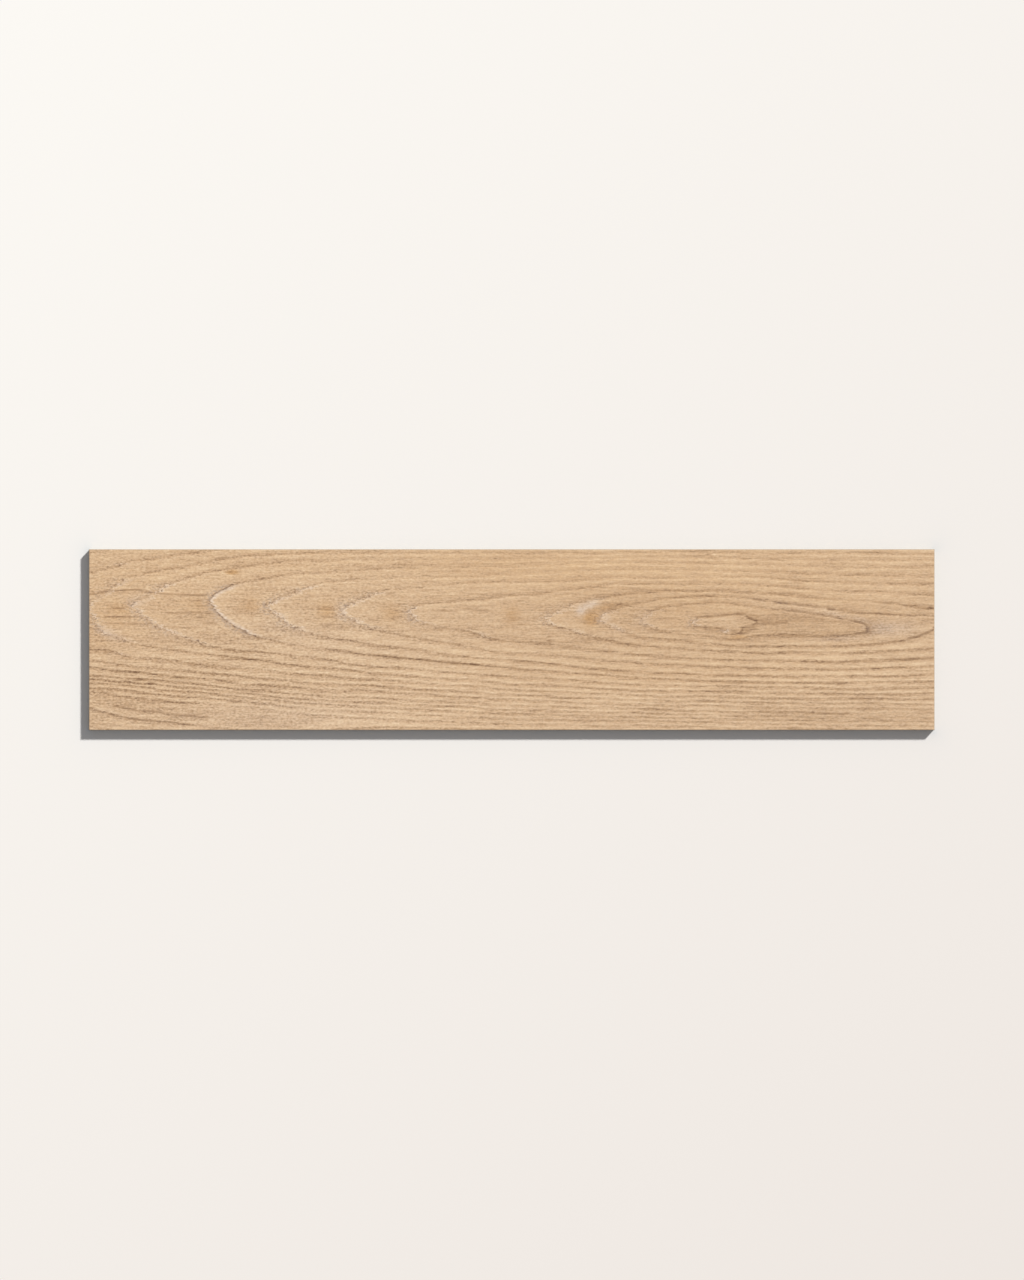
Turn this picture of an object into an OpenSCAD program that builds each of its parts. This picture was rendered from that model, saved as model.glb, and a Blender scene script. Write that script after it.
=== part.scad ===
// Wood-look porcelain plank tile: one dry-pressed, fired and rectified piece.
// Millimetres. The origin is the middle of the underside, +X runs along the
// grain, +Y across the plank and +Z out of the walked-on face.

/* [Plank] */
// Length of the plank, along the printed grain
tile_l = 902; // [300:1:1500]
// Width of the plank
tile_w = 193; // [100:1:300]
// Thickness over the back ribs
tile_t = 9.5; // [7:0.1:14]

/* [Ground edges] */
// Bevel ground along the four edges of the face, as wide as it is deep
face_arris = 0.7; // [0.3:0.1:1.5]
// Bevel ground along the four edges of the back
back_arris = 0.5; // [0.2:0.1:1.5]

/* [Back relief] */
// Depth of the pressed pockets that key into the adhesive
pocket_depth = 0.8; // [0.4:0.1:1.5]
// Nominal distance from rib to rib, rounded to fill the field evenly
cell_pitch = 22; // [14:1:40]
// Width of a rib's crest, which stands on the floor
rib_crest = 2.6; // [1:0.1:4]
// Draft of the rib and pocket walls, in degrees from upright
draft_angle = 30; // [5:1:40]
// Width of the plain rim round the pockets
rim_w = 8; // [4:0.5:20]

/* [Hidden] */
porcelain_colour = [0.84, 0.71, 0.56];
// Extra length of a cutter past the face that it cuts
cut_past = 1;
// How far a drafted wall leans over the depth of a pocket
wall_lean = pocket_depth * tan(draft_angle);
// The field, from the middle of its first rib to that of its last. An even
// number of cells each way puts a rib on each centre line
field_l = tile_l - 2 * rim_w + rib_crest;
field_w = tile_w - 2 * rim_w + rib_crest;
cells_l = even_cells(field_l);
cells_w = even_cells(field_w);
pitch_l = field_l / cells_l;
pitch_w = field_w / cells_w;

function even_cells(span) = 2 * max(1, round(span / cell_pitch / 2));

// Outline of the ground plank seen along one edge, with its four arrises
module ground_section(span) {
    half = span / 2;
    polygon([
        [-half + back_arris, 0], [half - back_arris, 0],
        [half, back_arris], [half, tile_t - face_arris],
        [half - face_arris, tile_t], [-half + face_arris, tile_t],
        [-half, tile_t - face_arris], [-half, back_arris]
    ]);
}

// Outline across a pocket of the given width at the underside: it narrows
// upwards by the draft, and runs on below the underside to cut clean
module pocket_section(width) {
    low = width / 2 + cut_past * tan(draft_angle);
    high = width / 2 - wall_lean;
    polygon([
        [-low, -cut_past], [low, -cut_past],
        [high, pocket_depth], [-high, pocket_depth]
    ]);
}

// Runs an outline drawn in width and height along X, over the given length
module along_x(length)
    rotate([90, 0, 90]) linear_extrude(length, center = true) children();

// Runs an outline drawn in width and height along Y, over the given length
module along_y(length)
    rotate([90, 0, 0]) linear_extrude(length, center = true) children();

// The plank as the edge grinders leave it: two sections that cross, so the
// arrises meet in mitres at the corners
module ground_plank() {
    intersection() {
        along_x(tile_l) ground_section(tile_w);
        along_y(tile_w) ground_section(tile_l);
    }
}

// One row of pockets across the plank's length or width, as a set of grooves
module pocket_rows(cells, pitch, length) {
    for (row = [0 : cells - 1])
        translate([0, (row - (cells - 1) / 2) * pitch, 0])
            along_x(length) pocket_section(pitch - rib_crest);
}

// Every pocket of the back: where a groove along X meets one along Y
module back_pockets() {
    intersection() {
        pocket_rows(cells_w, pitch_w, tile_l);
        rotate([0, 0, 90]) pocket_rows(cells_l, pitch_l, tile_w);
    }
}

module plank_tile() {
    color(porcelain_colour) difference() {
        ground_plank();
        back_pockets();
    }
}

plank_tile();
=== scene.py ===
"""Looks of a wood look porcelain plank tile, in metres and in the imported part's frame.

The walked-on face is a fine grid pressed with the relief of the grain and
printed with an oak figure. The ground edges and the pressed back show the
body of the tile. The figure is one smooth field whose whole numbers are the
growth rings, and the print and the relief both read it.
"""

import math
from types import SimpleNamespace

import bmesh
import bpy
import numpy as np
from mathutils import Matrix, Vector


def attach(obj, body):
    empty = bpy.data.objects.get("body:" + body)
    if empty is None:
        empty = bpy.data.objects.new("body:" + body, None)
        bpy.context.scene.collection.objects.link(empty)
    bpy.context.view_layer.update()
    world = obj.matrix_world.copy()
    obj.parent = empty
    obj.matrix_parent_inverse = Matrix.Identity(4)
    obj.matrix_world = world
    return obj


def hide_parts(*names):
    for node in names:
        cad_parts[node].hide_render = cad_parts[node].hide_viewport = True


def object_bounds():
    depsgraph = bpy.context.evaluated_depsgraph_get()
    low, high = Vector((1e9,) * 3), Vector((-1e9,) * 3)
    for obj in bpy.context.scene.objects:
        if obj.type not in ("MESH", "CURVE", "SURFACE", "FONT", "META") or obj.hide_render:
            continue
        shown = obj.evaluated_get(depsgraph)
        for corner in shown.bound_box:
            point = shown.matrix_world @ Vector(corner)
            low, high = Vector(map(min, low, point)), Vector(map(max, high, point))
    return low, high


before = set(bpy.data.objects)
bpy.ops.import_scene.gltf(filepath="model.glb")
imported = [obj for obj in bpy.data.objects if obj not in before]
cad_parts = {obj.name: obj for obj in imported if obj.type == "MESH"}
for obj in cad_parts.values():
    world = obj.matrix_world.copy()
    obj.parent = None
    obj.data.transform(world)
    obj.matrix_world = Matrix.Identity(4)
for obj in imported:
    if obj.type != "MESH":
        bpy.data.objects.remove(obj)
cad_low, cad_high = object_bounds()

MM = 0.001
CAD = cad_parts["plank_tile"]
LENGTH, WIDTH, THICKNESS = cad_high - cad_low


def place(name, data):
    """A new object in the scene."""
    thing = bpy.data.objects.new(name, data)
    bpy.context.scene.collection.objects.link(thing)
    return thing


# The figure of the oak

# Growth rings of the printed oak, numbered from the outside in. Each is one or
# more lines of points, in millimetres from the middle of the face with x along
# the plank, and the arches have their tips to the left
RINGS = {
    -10: [[(-450, -73), (-440, -76), (-420, -81.5), (-400, -85), (-380, -87), (-350, -90),
        (-320, -93)]],
    -9.5: [[(-446, -65), (-430, -68), (-410, -72), (-390, -76), (-370, -79), (-350, -81),
        (-325, -83.5), (-300, -86), (-275, -87.5), (-245, -89.5), (-220, -92)]],
    -9: [[(-440, -57), (-420, -60), (-400, -62), (-378, -64.5), (-358, -67), (-330, -68),
        (-312, -70), (-290, -72), (-270, -74), (-245, -78), (-220, -80), (-190, -82), (-150, -84),
        (-120, -86), (-90, -87), (-60, -88), (0, -90.5), (50, -91), (100, -92), (200, -93.5)]],
    -8: [[(-440, -52), (-413, -53.5), (-395, -56.5), (-372, -59), (-345, -61), (-320, -62.5),
        (-300, -65), (-275, -67), (-250, -70), (-225, -73), (-200, -75.5), (-160, -77), (-120, -79),
        (-85, -81), (-40, -83), (0, -85), (55, -86), (140, -87), (200, -88), (250, -89.5),
        (300, -90), (380, -91.5), (450, -92)]],
    -7: [[(-440, -47), (-410, -49), (-370, -54), (-330, -56.5), (-305, -60), (-275, -62.5),
        (-250, -65), (-215, -68), (-175, -70.5), (-140, -72), (-95, -74.5), (-40, -77.5), (0, -79),
        (50, -80.5), (90, -82), (150, -83), (205, -84), (262, -85), (335, -87), (400, -87),
        (450, -88)]],
    -6: [[(-440, -43), (-415, -45), (-388, -47), (-360, -50), (-325, -52.5), (-295, -56),
        (-262, -60), (-225, -63), (-200, -65), (-165, -66.5), (-130, -68), (-85, -70.5), (-45, -72),
        (-5, -75), (50, -76), (100, -78), (165, -79), (262, -81), (320, -83), (395, -82.5),
        (450, -84)]],
    -5: [[(-450, -38), (-425, -40), (-400, -42), (-375, -43.5), (-340, -47), (-315, -50),
        (-290, -53), (-265, -54), (-235, -58), (-195, -61), (-150, -62), (-110, -65), (-65, -66.5),
        (-20, -69.5), (30, -71), (80, -73), (135, -73.5), (190, -76), (250, -77.5), (315, -78),
        (385, -79), (450, -78)]],
    -4: [[(-440, -31), (-400, -35), (-365, -39), (-340, -41), (-310, -43.5), (-280, -48),
        (-243, -50), (-215, -53), (-185, -54), (-155, -54), (-120, -57), (-90, -58.5), (-45, -61.5),
        (0, -64), (45, -66), (105, -67.5), (150, -69.5), (205, -70), (262, -72), (330, -73),
        (385, -73), (450, -75)]],
    -3: [[(-440, -23), (-415, -27.5), (-385, -30), (-345, -34), (-310, -37), (-280, -40),
        (-245, -43), (-215, -46.5), (-180, -48), (-140, -50), (-95, -53), (-50, -56), (-5, -59),
        (55, -62), (115, -64), (190, -66), (250, -67), (320, -68), (380, -67.5), (450, -69)]],
    -2: [[(-450, -10), (-428, -12), (-415, -17), (-390, -20), (-360, -22.5), (-340, -26),
        (-305, -29), (-260, -33.5), (-230, -36.5), (-190, -39.5), (-160, -42), (-130, -44),
        (-80, -48), (-40, -50), (0, -54), (60, -56), (120, -58.5), (185, -60.5), (262, -62),
        (330, -63), (395, -63.5), (450, -63)],
        [(-450, 71), (-435, 75), (-420, 79), (-405, 84), (-385, 85), (-365, 89), (-345, 92)]],
    -1: [[(-446, 22), (-440, 13), (-432, 5.5), (-420, 2), (-405, -4), (-383, -8), (-360, -12),
        (-330, -15), (-300, -19), (-278, -21), (-255, -24), (-220, -29), (-180, -31.5), (-150, -36),
        (-115, -38), (-80, -41.5), (-40, -43.5), (-10, -47), (40, -48.5), (85, -52), (130, -54.5),
        (180, -55), (230, -55), (280, -57), (345, -57.5), (450, -57)],
        [(-425, 56), (-410, 65), (-388, 71.5), (-366, 75), (-340, 79), (-310, 86), (-280, 89),
        (-250, 91), (-180, 92), (-60, 92), (100, 92), (300, 92), (450, 91)]],
    0: [[(-378, 53), (-390, 44), (-400, 41), (-405, 36), (-400, 31), (-388, 21), (-375, 13),
        (-360, 6), (-340, -1), (-320, -8), (-300, -11), (-262, -14), (-230, -17.5), (-200, -20.5),
        (-170, -27), (-130, -30), (-80, -34), (-40, -37), (0, -40), (45, -42), (100, -46.5),
        (150, -49), (205, -50), (262, -51), (315, -51), (355, -53), (415, -52), (450, -51)],
        [(-376, 54), (-365, 60), (-345, 66), (-325, 72), (-300, 76), (-262, 81), (-230, 84),
        (-160, 85), (-45, 85), (100, 87), (230, 87), (330, 85.5), (450, 85)]],
    # The third whole arch, the crisp one
    1: [[(-155, 75), (-195, 72), (-240, 69), (-268, 64), (-298, 58), (-310, 52), (-318, 46),
        (-321.5, 41.5), (-318, 36), (-312, 27), (-300, 17.5), (-288, 11), (-275, 4), (-255, -1),
        (-225, -7), (-185, -12), (-145, -17), (-108, -21), (-75, -24), (-35, -27), (0, -30.5),
        (50, -34.5), (95, -38), (140, -41), (190, -43), (250, -45), (315, -46), (385, -45),
        (450, -45)],
        [(-120, 76), (-75, 77), (-30, 78), (25, 79), (70, 80.5), (130, 82), (185, 81.5),
        (245, 80.5), (300, 78), (375, 77.5), (450, 78)]],
    2: [[(-160, 64), (-195, 61.5), (-212, 58.5), (-225, 52.5), (-243, 46), (-253, 41), (-262, 35),
        (-257, 31), (-248, 25), (-240, 17), (-228, 11), (-205, 4), (-175, -1), (-145, -6),
        (-108, -9.5), (-85, -12.5), (-52, -18), (-18, -21), (27, -24), (70, -29), (110, -33),
        (155, -35.5), (205, -38), (265, -39), (340, -39), (395, -39), (450, -37)],
        [(-90, 67), (-45, 67), (-10, 70), (50, 72), (125, 74), (240, 73), (345, 69.5),
        (450, 68.5)]],
    3: [[(-95, 56), (-135, 53), (-150, 47.5), (-165, 41.5), (-174, 37.5), (-180, 32), (-178, 26),
        (-168, 20.5), (-155, 14.5), (-143, 10), (-120, 5), (-95, 1), (-70, -3), (-40, -9),
        (-10, -13.5), (32, -16), (75, -20), (125, -24), (175, -27), (230, -29), (300, -31),
        (350, -32), (405, -30), (450, -28)],
        [(-45, 61), (35, 62), (75, 63.5), (160, 66), (250, 67.5), (330, 62), (380, 60),
        (450, 58.5)]],
    4: [[(0, 47), (-20, 43.5), (-60, 41), (-88, 38.5), (-104, 35.5), (-109, 29), (-104, 23),
        (-95, 18), (-77, 13.5), (-58, 10.5), (-38, 6.5), (-22, 1), (0, -2.5), (28, -3.5), (65, -8),
        (105, -13), (147, -17), (190, -20), (245, -22), (300, -23), (345, -24), (382, -22),
        (425, -21), (450, -19)],
        [(28, 48.5), (50, 52), (80, 56), (120, 60), (200, 60), (262, 59), (303, 55), (335, 53),
        (380, 51), (450, 47.5)]],
    5: [[(92, 43), (70, 39.5), (57, 34), (47, 30), (38, 24), (36, 19), (45, 14.5), (60, 11),
        (75, 5.5), (102, -1), (140, -6.5), (190, -10), (237, -13), (300, -13.5), (345, -14),
        (400, -12), (450, -9.5)],
        [(110, 47), (150, 51), (200, 52), (245, 50.5), (290, 48), (335, 44), (385, 41), (425, 36.5),
        (450, 33.5)]],
    6: [[(147, 41.5), (127, 37), (113, 33.5), (103, 30), (97, 25.5), (95, 21), (99, 17.5),
        (109, 13.5), (120, 8), (135, 3.5), (170, 0), (205, -3.5), (235, -6.5), (280, -7),
        (340, -7.5), (385, -4.5), (415, -1), (433, 3), (446, 8.5), (452, 13)],
        [(175, 45), (210, 46.5), (240, 45.5), (270, 42), (300, 38), (330, 34.5), (362, 29.5),
        (418, 26), (450, 25)]],
    # The long lens
    7: [[(139, 20), (145, 28), (155, 33), (178, 37), (205, 39.5), (230, 39.5), (255, 35), (290, 32),
        (315, 29), (345, 24), (366, 19.8), (375, 16.5), (380, 11.5), (375, 8), (365, 5.7), (345, 4),
        (300, 5), (262, 4.5), (245, 1.5), (210, 3.5), (180, 5.5), (160, 9), (145, 14)]],
    # The small knot shape
    8: [[(195, 19.5), (199, 23), (217, 25.2), (238, 26.8), (248, 26), (255, 22.5), (261, 18.9),
        (256, 15.6), (248.5, 13.8), (245, 10), (239, 6), (232, 5.8), (227.5, 10), (218, 12.3),
        (201, 14)]],
}
# Where the field stands between rings: (x, y, the ring number there)
BETWEEN_RINGS = [
    (170, 21, 7.5), (290, 18, 7.3), (345, 14, 7.15), (228, 19, 8.5), (-355, 43, 0.5),
    (-430, 35, -0.5), (-450, 45, -1.2),
]
# The arch that is drawn crisply at its tip
CRISP_RING = 1
# The figure is drawn out along the grain by about this much
FIGURE_STRETCH = 4.0


def patch(x, y, half_l, half_w, tone=0, stain=0, chalk=0, bold=0, lean=0):
    """A soft oval place, in millimetres, and what it adds to the print.

    It adds to the tone, the brown stain, the chalk and the boldness of the
    ring lines. The lean is how far its long way climbs per millimetre.
    """
    return x, y, half_l, half_w, lean, tone, stain, chalk, bold


PATCHES = [
    # Brown places: the hearts of the arches, and single stains
    patch(85, 23, 11, 8.5, -0.04, 1.05, lean=-0.1),
    patch(103, 35, 15, 4, -0.02, 0.45, lean=0.15),
    patch(-197, 31, 10, 9, 0.045, 0.65),
    patch(-128, 28, 11, 9, -0.03, 0.5),
    patch(0, 26, 8, 9, -0.03, 0.6),
    patch(-335, 38, 13, 8, 0.01, 0.37),
    patch(-279, 36, 10, 9, stain=0.5),
    patch(-415, 33, 10, 6, stain=0.45),
    patch(-298, 72, 6, 2.2, -0.285, 1.3),
    patch(240, 3, 10, 2.2, 0.14, 0.85, bold=-0.2, lean=0.05),
    patch(-440, 10, 30, 25, -0.04, 0.3),
    # Chalky places: the pale wedge, the grey patch at the lens's right end, worn spots
    patch(83, 37, 10, 4, stain=-0.6, chalk=1.1, bold=-0.3, lean=0.35),
    patch(73.5, 30.5, 4.5, 5.5, 0.03, -0.3, chalk=1.1, bold=-0.3),
    patch(100, 22, 5, 3.5, 0.03, chalk=0.7, lean=0.6),
    patch(112, 13, 8, 2.5, chalk=0.5, bold=-0.2, lean=-0.6),
    patch(410, 12, 24, 8, 0.02, -0.1, chalk=0.5),
    patch(141, 22, 8, 10, -0.03, chalk=0.2, bold=-0.7),
    patch(295, 36, 50, 7, chalk=0.2, bold=-0.35, lean=-0.15),
    patch(-182, 30, 5, 9, -0.01, chalk=0.35),
    patch(-430, 8, 12, 7, chalk=0.6, lean=-0.4),
    patch(-400, 40, 10, 8, chalk=0.4),
    patch(392, 12, 13, 8, -0.07, -0.1, chalk=0.3),
    patch(350, 1, 30, 3, -0.05, chalk=0.4, lean=0.05),
    patch(345, 27, 16, 3, chalk=0.4, lean=-0.25),
    patch(372, 22, 8, 3, chalk=0.4, lean=-0.3),
    # Tone and lines together
    patch(-105, 30, 8, 11, -0.04, 0.1, chalk=0.1, bold=0.35),
    patch(-387, 47, 9, 5, 0.02, bold=-0.8, lean=0.5),
    patch(-436, 50, 10, 6, 0.02, bold=-0.8, lean=0.6),
    patch(228, 19, 30, 6, 0.07, -0.2, bold=-0.1),
    patch(-400, -52, 80, 24, -0.035, 0.1, bold=0.35),
    patch(-250, -30, 130, 22, 0.01, bold=0.2, lean=-0.15),
    patch(-150, -15, 100, 16, 0.02, bold=0.35, lean=-0.1),
    patch(-290, 50, 60, 22, 0.01, bold=0.3, lean=0.2),
    patch(190, 30, 130, 32, -0.05, 0.2, bold=0.1),
    patch(360, 20, 90, 30, -0.01, 0.1, bold=0.4),
    patch(250, -25, 230, 28, 0.02, 0.1, bold=0.25),
    patch(20, 80, 240, 18, -0.01, 0.15, bold=-0.45),
    patch(420, -80, 60, 22, -0.04, bold=-0.2),
    patch(-200, 8, 60, 14, -0.03, bold=0.4, lean=-0.35),
    patch(350, 12, 60, 14, -0.03, bold=-0.15),
    patch(-100, -40, 60, 20, 0.025, bold=-0.1),
    patch(-220, -76, 90, 18, -0.01, chalk=0.15, bold=0.2),
    patch(350, 40, 90, 12, 0.01, bold=-0.35, lean=-0.08),
    patch(185, -5, 45, 14, 0.02, bold=-0.25),
    patch(-190, 40, 40, 30, -0.01, bold=0.2),
    patch(-112, 76, 50, 20, -0.012, bold=-0.1),
    patch(0, 76, 60, 20, -0.014, bold=-0.1),
    patch(100, 38, 80, 14, -0.03, bold=-0.1),
    patch(-185, 86, 40, 12, -0.03, bold=-0.1),
    # Tone and stain alone, broad and soft
    patch(-250, 12, 22, 7, -0.045, -0.1, chalk=0.12, lean=-0.3),
    patch(-160, -86, 130, 12, 0.05, -0.2),
    patch(0, 90, 800, 40, 0.055, 0.26),
    patch(0, 45, 900, 40, 0.02, 0.12),
    patch(270, 30, 200, 50, stain=0.06),
    patch(260, 8, 120, 14, -0.04),
    patch(-300, -42, 160, 18, -0.02, lean=-0.1),
    patch(-270, -86, 120, 20, -0.02, chalk=0.15),
    patch(330, -86, 50, 14, -0.04),
    patch(-270, 38, 150, 20, 0.025),
    patch(-400, 22, 80, 36, 0.03, 0.16),
    patch(240, 0, 200, 18, -0.026),
    patch(370, 76, 90, 20, -0.022),
    patch(-330, -38, 150, 20, -0.014),
    patch(180, -38, 200, 20, -0.012, 0.06),
    patch(275, -77.5, 53, 17, -0.055),
    patch(-75, -76, 70, 18, 0.018),
    patch(-150, 74, 90, 24, -0.02, -0.15),
    patch(110, 0, 60, 14, -0.02, lean=-0.1),
    patch(410, 5, 50, 20, -0.012, 0.05),
    patch(-200, 0, 60, 20, -0.015, chalk=0.1, lean=-0.2),
    patch(-230, 40, 50, 20, 0.022),
    patch(-300, -2, 30, 10, -0.03, lean=-0.2),
    patch(60, 60.5, 40, 14, -0.055, 0.06),
    patch(300, -60, 60, 14, -0.03),
    patch(350, 70, 50, 14, -0.025),
    patch(-420, 60, 60, 30, stain=0.09),
    patch(0, -5, 60, 20, stain=0.08),
    patch(80, -40, 120, 18, stain=0.07),
    patch(250, -38, 150, 20, stain=0.05),
    patch(300, -86, 60, 12, -0.02, 0.05),
    patch(410, 56, 60, 30, -0.02),
    patch(330, 40, 50, 14, -0.02, 0.05),
    patch(-420, -86, 30, 14, 0.03),
    patch(140, -2, 70, 16, -0.035, 0.05),
    patch(335, -2, 40, 16, -0.035, 0.04),
    patch(-190, -42, 40, 12, -0.03),
    patch(260, 30, 60, 12, -0.03),
    patch(-260, -40, 40, 12, -0.025),
    patch(-250, -60, 50, 12, -0.02),
    # Where the ring lines are bolder or fainter
    patch(52, 30, 18, 9, bold=-0.45, lean=0.3),
    patch(-178, 31, 8, 10, bold=0.15),
    patch(-300, 35, 40, 38, bold=0.3),
    patch(365, 17, 26, 12, bold=-0.45),
    patch(385, 28.5, 16, 2, bold=-0.5),
    patch(330, 82, 130, 20, bold=-0.3),
    patch(300, -84, 220, 18, bold=-0.35),
    patch(40, -88, 120, 10, bold=-0.25),
    patch(185, 38, 40, 16, bold=-0.2),
    patch(380, -36, 90, 20, bold=0.2),
    patch(-360, 60, 60, 20, bold=0.15, lean=0.3),
    patch(262, 8, 30, 16, bold=-0.25),
    patch(-100, 86, 260, 14, bold=-0.22),
    patch(170, 86, 120, 12, bold=-0.2),
    patch(-150, 50, 60, 14, bold=-0.15),
]
# Single marks: how dark, half width, and the (x, y) points of the line, in
# millimetres. A mark below zero is a light one
MARKS = [
    (0.42, 1, [(-450, 48.5), (-444, 48.5), (-438, 50.5), (-428, 52), (-402, 53.5), (-388, 51),
        (-376, 49.5), (-362, 48.5), (-325, 47)]),
    (-0.14, 2, [(-312, 19), (-300, 8), (-285, 1), (-262, -5), (-235, -9)]),
    (0.26, 1, [(-428, 33.5), (-414, 33.5)]),
    (0.23, 0.9, [(-432, 24.5), (-400, 24.3)]),
    (0.24, 1, [(-432, 17.5), (-384, 17.2)]),
    (0.26, 1, [(-370, 29), (-325, 29.2)]),
    (0.25, 0.8, [(-337, 36), (-318, 36)]),
    (0.2, 0.8, [(-337, 24), (-327, 24)]),
    (0.18, 0.8, [(-362, 13), (-343, 13)]),
    (0.22, 0.8, [(-335, 18), (-316, 17.5)]),
    (0.25, 1.3, [(-425, -70.5), (-415, -72.5), (-397, -76), (-380, -76.5), (-362, -80), (-349, -81),
        (-325, -83)]),
    (0.2, 1.4, [(-450, -73), (-443, -75.5), (-427, -79.5), (-412, -82.5), (-392, -86),
        (-372, -87.5), (-344, -90)]),
    (0.2, 1.2, [(-447, -89), (-429, -90.5), (-407, -93.5), (-382, -94)]),
    (0.25, 1.2, [(-404, -34.6), (-398, -35)]),
    (0.3, 1.2, [(-399, -42), (-393, -42.3)]),
    (0.3, 1.2, [(-360, -39.5), (-350, -40)]),
    (0.22, 1, [(-206, 32.5), (-187, 32)]),
    (0.25, 1, [(-204, 25.5), (-187, 23.5)]),
    (0.18, 1, [(-205, 16.5), (-178, 16.5)]),
    (0.25, 1, [(-135, 49.3), (-126, 49.7)]),
    (0.18, 0.9, [(-153, 20.5), (-141, 20.5)]),
    (0.22, 1, [(-40, 31.2), (-25, 31)]),
    (0.16, 1, [(-85, 31), (-57, 29.7)]),
    (0.2, 0.9, [(-51, 33.5), (-41, 33.5)]),
    (0.26, 1.3, [(-29, 3.2), (-25, 3)]),
    (0.24, 1.3, [(-22, 1), (-18, 0.6)]),
    (0.3, 1, [(-286, -20.5), (-272, -21)]),
    (0.5, 1.3, [(-387, -46.8), (-382, -46.8)]),
    (0.25, 0.8, [(-150, -15.5), (-102, -20.7), (-33, -27)]),
    (0.3, 1, [(-45, -25.8), (-33, -27)]),
    (0.22, 0.9, [(-4, -20.7), (27, -23.8), (52, -27)]),
    (0.35, 1, [(38, 3.2), (42, 3.2)]),
    (0.35, 1, [(38, -1), (42, -1)]),
    (0.2, 0.9, [(83, -35.3), (96, -37.4)]),
    (0.22, 1, [(-50, -49.5), (-42, -49.5)]),
    (0.25, 1, [(-40, -62), (-35, -62)]),
    (0.3, 1.3, [(-25, -75), (-20, -76)]),
    (0.3, 1.2, [(279, 41), (284, 39.5), (297, 38)]),
    (0.25, 0.9, [(258, 42.8), (272, 41)]),
    (0.18, 0.9, [(251, 23.5), (257.5, 21), (262, 19.4)]),
    (0.22, 0.9, [(253, 27), (262, 25.5), (267, 19.4), (275, 17.3), (292, 18.4)]),
    (0.22, 1, [(196, 24), (217, 25.4), (238, 27.4), (248, 27.6)]),
    (0.14, 1, [(251, 12.5), (262, 15)]),
    (0.16, 0.8, [(244, 5.6), (257.5, 11.7), (263, 11.2)]),
    (0.18, 1, [(304, 36.7), (325.5, 34.6)]),
    (-0.2, 1.2, [(322, 30), (336, 31.5), (347, 29)]),
    (0.55, 1.3, [(338, 32.6), (342, 31.6)]),
    (0.16, 1.1, [(345, 24), (354, 21.5)]),
    (0.16, 1.1, [(363, 20), (374, 18)]),
    (0.35, 1.4, [(377.5, 11.5), (381, 11.3)]),
    (0.25, 1, [(419, 36.5), (434, 33.5), (451, 33)]),
    (0.2, 0.8, [(382, 28.2), (402, 27.7)]),
    (0.32, 1, [(424, 2.4), (436.5, 5.2), (447.4, 10.6), (450.8, 14)]),
    (0.2, 0.8, [(385, 40.4), (406, 38.3)]),
    (-0.25, 1, [(212, 94), (217, 90), (224, 87)]),
    (0.15, 1.2, [(204, 96), (212, 88), (222, 83)]),
]
# How much of a mark is left at its ends, and how fast it fades, in millimetres
MARK_AT_END, MARK_FADE = 0.7, 3.0
# Keeps the logarithm of no distance at all finite
TINY = 1e-12


def kernel(square):
    """Height and slope factor of a thin plate over a squared distance."""
    log = np.log(square + TINY)
    return 0.5 * square * log, log + 1


class RingField:
    """The smooth field through all the rings, over points in millimetres."""

    UNIT = np.array([100.0, 100.0 / FIGURE_STRETCH])
    # How loosely it holds to the points, and how many places it finds at once
    SLACK = 1e-5
    AT_ONCE = 8000

    def __init__(self, rings, between):
        known = [(x, y, n) for n, lines in rings.items() for line in lines for x, y in line]
        known = np.array(known + list(between), float)
        self.points = known[:, :2] / self.UNIT
        count = len(known)
        gaps = self.points[:, None] - self.points[None]
        system = np.zeros((count + 3, count + 3))
        system[:count, :count] = kernel((gaps ** 2).sum(2))[0] + self.SLACK * np.eye(count)
        system[:count, count] = system[count, :count] = 1
        system[:count, count + 1:] = self.points
        system[count + 1:, :count] = self.points.T
        self.weights = np.linalg.solve(system, np.r_[known[:, 2], 0, 0, 0])

    def at(self, x, y):
        """Rows of ring number and its slope along x and y, per millimetre."""
        places = np.stack([x, y], 1) / self.UNIT
        bend, level, tilt = self.weights[:-3], self.weights[-3], self.weights[-2:]
        rows = []
        for part in np.array_split(places, len(places) // self.AT_ONCE + 1):
            gaps = part[:, None] - self.points[None]
            height, slope = kernel((gaps ** 2).sum(2))
            number = height @ bend + level + part @ tilt
            slopes = ((slope * bend)[:, :, None] * gaps).sum(1) + tilt
            rows.append(np.c_[number, slopes / self.UNIT])
        return np.concatenate(rows)


def patches_at(x, y):
    """Rows of tone, stain, chalk and boldness, from all the patches together."""
    total = np.zeros((len(x), 4))
    for middle_x, middle_y, half_l, half_w, lean, *adds in PATCHES:
        along = (x - middle_x) / half_l
        across = (y - middle_y - (x - middle_x) * lean) / half_w
        total += np.exp(-(along ** 2 + across ** 2))[:, None] * adds
    return total


def marks_at(x, y):
    """How dark the single marks are at each point."""
    total = np.zeros(len(x))
    for dark, half_width, line in MARKS:
        line_x, line_y = zip(*line)
        past_end = np.minimum(x - line_x[0], line_x[-1] - x) / MARK_FADE
        beside = (y - np.interp(x, line_x, line_y)) / half_width
        total += dark * np.clip(past_end + MARK_AT_END, 0, 1) * np.exp(-beside ** 2)
    return total


# Shorthand for nodes

def feed(tree, slot, source):
    """Gives a node's input a value, a socket, or a fixed number or colour."""
    if isinstance(source, Value):
        source = source.socket
    if isinstance(source, bpy.types.NodeSocket):
        tree.links.new(source, slot)
    else:
        slot.default_value = (*source, 1) if isinstance(source, tuple) else source


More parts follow.
